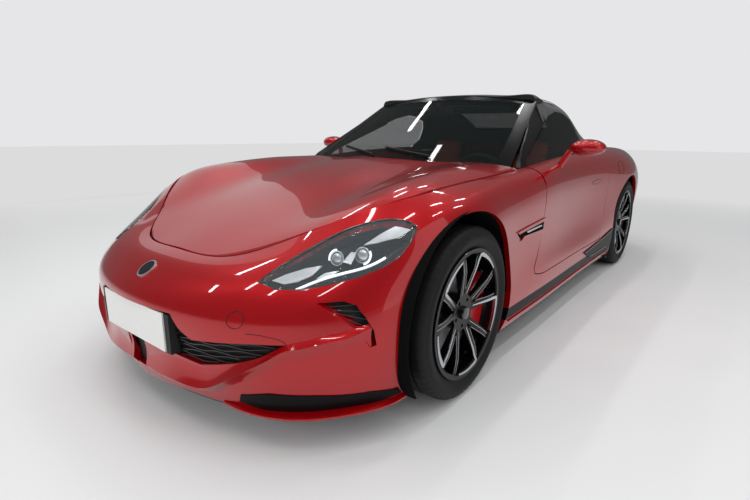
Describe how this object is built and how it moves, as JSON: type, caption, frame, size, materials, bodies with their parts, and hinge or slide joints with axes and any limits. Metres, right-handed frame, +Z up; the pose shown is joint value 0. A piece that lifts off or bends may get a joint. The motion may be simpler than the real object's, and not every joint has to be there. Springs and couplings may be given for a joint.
{
  "type": "electric roadster",
  "caption": "low two-seat electric roadster with scissor doors, fabric soft top up, long bonnet, short boot and wide split-spoke wheels",
  "frame": {"origin": "on the ground under the middle of the car's length and width", "axes": "+Y towards the tail, +X towards the car's left side, +Z up; the nose points to -Y"},
  "size_m": [2.129, 4.535, 1.3264],
  "materials": {
    "body_paint": "deep candy red metallic paint, clear gloss coat",
    "black_gloss": "piano black, high gloss",
    "black_trim": "fine grained black plastic",
    "roof_fabric": "black acrylic canvas with a fine weave",
    "screen_glass": "laminated safety glass, faint green tint",
    "dark_glass": "tempered privacy glass",
    "lamp_clear": "clear polycarbonate lens over bright reflectors",
    "lamp_red": "deep red polycarbonate lens",
    "plate_white": "smooth white reflective sheet, blank",
    "battery_case": "die-cast and extruded aluminium, matt",
    "tub_metal": "pressed steel, dark satin undercoat",
    "steel": "forged and cast steel, black coated",
    "caliper_red": "red enamel on cast aluminium",
    "wheel_alloy": "gloss black alloy with machined silver edges",
    "tyre_rubber": "black tyre rubber, satin side wall",
    "seat_leather": "tan orange leather",
    "dash_leather": "dark stitched leather"
  },
  "bodies": {
    "car_body": {"front_bumper": "body_paint", "front_fenders": "body_paint", "rear_body": "body_paint", "side_sills": "body_paint", "rear_deck": "body_paint", "windscreen_frame": "black_gloss", "cowl_panel": "black_trim", "windscreen": "screen_glass", "soft_top": "roof_fabric", "rear_window": "dark_glass", "headlamps": "lamp_clear", "tail_lamps": "lamp_red", "front_grille": "black_trim", "front_splitter": "black_gloss", "rear_diffuser": "black_trim", "number_plates": "plate_white", "battery_pack": "battery_case", "floor_pan": "tub_metal", "wheel_liners": "black_trim", "drive_units": "battery_case", "front_suspension": "steel", "rear_suspension": "steel", "rear_calipers": "caliper_red", "seats": "seat_leather", "dashboard": "dash_leather", "centre_console": "dash_leather"},
    "steering_wheel": {"steering_wheel": "dash_leather"},
    "bonnet": {"bonnet": "body_paint"},
    "boot_lid": {"boot_lid": "body_paint"},
    "door_left": {"door_left": "body_paint", "door_glass_left": "screen_glass", "mirror_left": "body_paint"},
    "knuckle_left": {"knuckle_left": "steel", "front_caliper_left": "caliper_red"},
    "wheel_front_left": {"front_rim_left": "wheel_alloy", "front_tyre_left": "tyre_rubber"},
    "wheel_rear_left": {"rear_rim_left": "wheel_alloy", "rear_tyre_left": "tyre_rubber"},
    "door_right": {"door_right": "body_paint", "door_glass_right": "screen_glass", "mirror_right": "body_paint"},
    "knuckle_right": {"knuckle_right": "steel", "front_caliper_right": "caliper_red"},
    "wheel_front_right": {"front_rim_right": "wheel_alloy", "front_tyre_right": "tyre_rubber"},
    "wheel_rear_right": {"rear_rim_right": "wheel_alloy", "rear_tyre_right": "tyre_rubber"}
  },
  "joints": [
    {"name": "door_left_lift", "type": "hinge", "parent": "car_body", "child": "door_left", "pos_m": [0.842, -0.51, 0.836], "axis": [0.8, 0, -0.6], "range_deg": [0, 55]},
    {"name": "door_right_lift", "type": "hinge", "parent": "car_body", "child": "door_right", "pos_m": [-0.842, -0.51, 0.836], "axis": [0.8, 0, 0.6], "range_deg": [0, 55]},
    {"name": "bonnet_lift", "type": "hinge", "parent": "car_body", "child": "bonnet", "pos_m": [0, -0.64, 0.85], "axis": [-1, 0, 0], "range_deg": [0, 45]},
    {"name": "boot_lid_lift", "type": "hinge", "parent": "car_body", "child": "boot_lid", "pos_m": [0, 1.54, 0.922], "axis": [1, 0, 0], "range_deg": [0, 65]},
    {"name": "steer_left", "type": "hinge", "parent": "car_body", "child": "knuckle_left", "pos_m": [0.7325, -1.3625, 0.352], "axis": [0, 0, 1], "range_deg": [-35, 35]},
    {"name": "steer_right", "type": "hinge", "parent": "car_body", "child": "knuckle_right", "pos_m": [-0.7325, -1.3625, 0.352], "axis": [0, 0, 1], "range_deg": [-35, 35]},
    {"name": "steering_wheel_turn", "type": "hinge", "parent": "car_body", "child": "steering_wheel", "pos_m": [0.365, -0.17, 0.76], "axis": [0, 0.9135, 0.4067], "range_deg": [-450, 450]},
    {"name": "wheel_front_left_spin", "type": "hinge", "parent": "knuckle_left", "child": "wheel_front_left", "pos_m": [0.8025, -1.3625, 0.352], "axis": [1, 0, 0], "continuous": true},
    {"name": "wheel_front_right_spin", "type": "hinge", "parent": "knuckle_right", "child": "wheel_front_right", "pos_m": [-0.8025, -1.3625, 0.352], "axis": [1, 0, 0], "continuous": true},
    {"name": "wheel_rear_left_spin", "type": "hinge", "parent": "car_body", "child": "wheel_rear_left", "pos_m": [0.8025, 1.3275, 0.35], "axis": [1, 0, 0], "continuous": true},
    {"name": "wheel_rear_right_spin", "type": "hinge", "parent": "car_body", "child": "wheel_rear_right", "pos_m": [-0.8025, 1.3275, 0.35], "axis": [1, 0, 0], "continuous": true}
  ],
  "couplings": [
    {"joint": "steer_right", "follows": "steer_left", "ratio": 1},
    {"joint": "steering_wheel_turn", "follows": "steer_left", "ratio": 12.857}
  ]
}
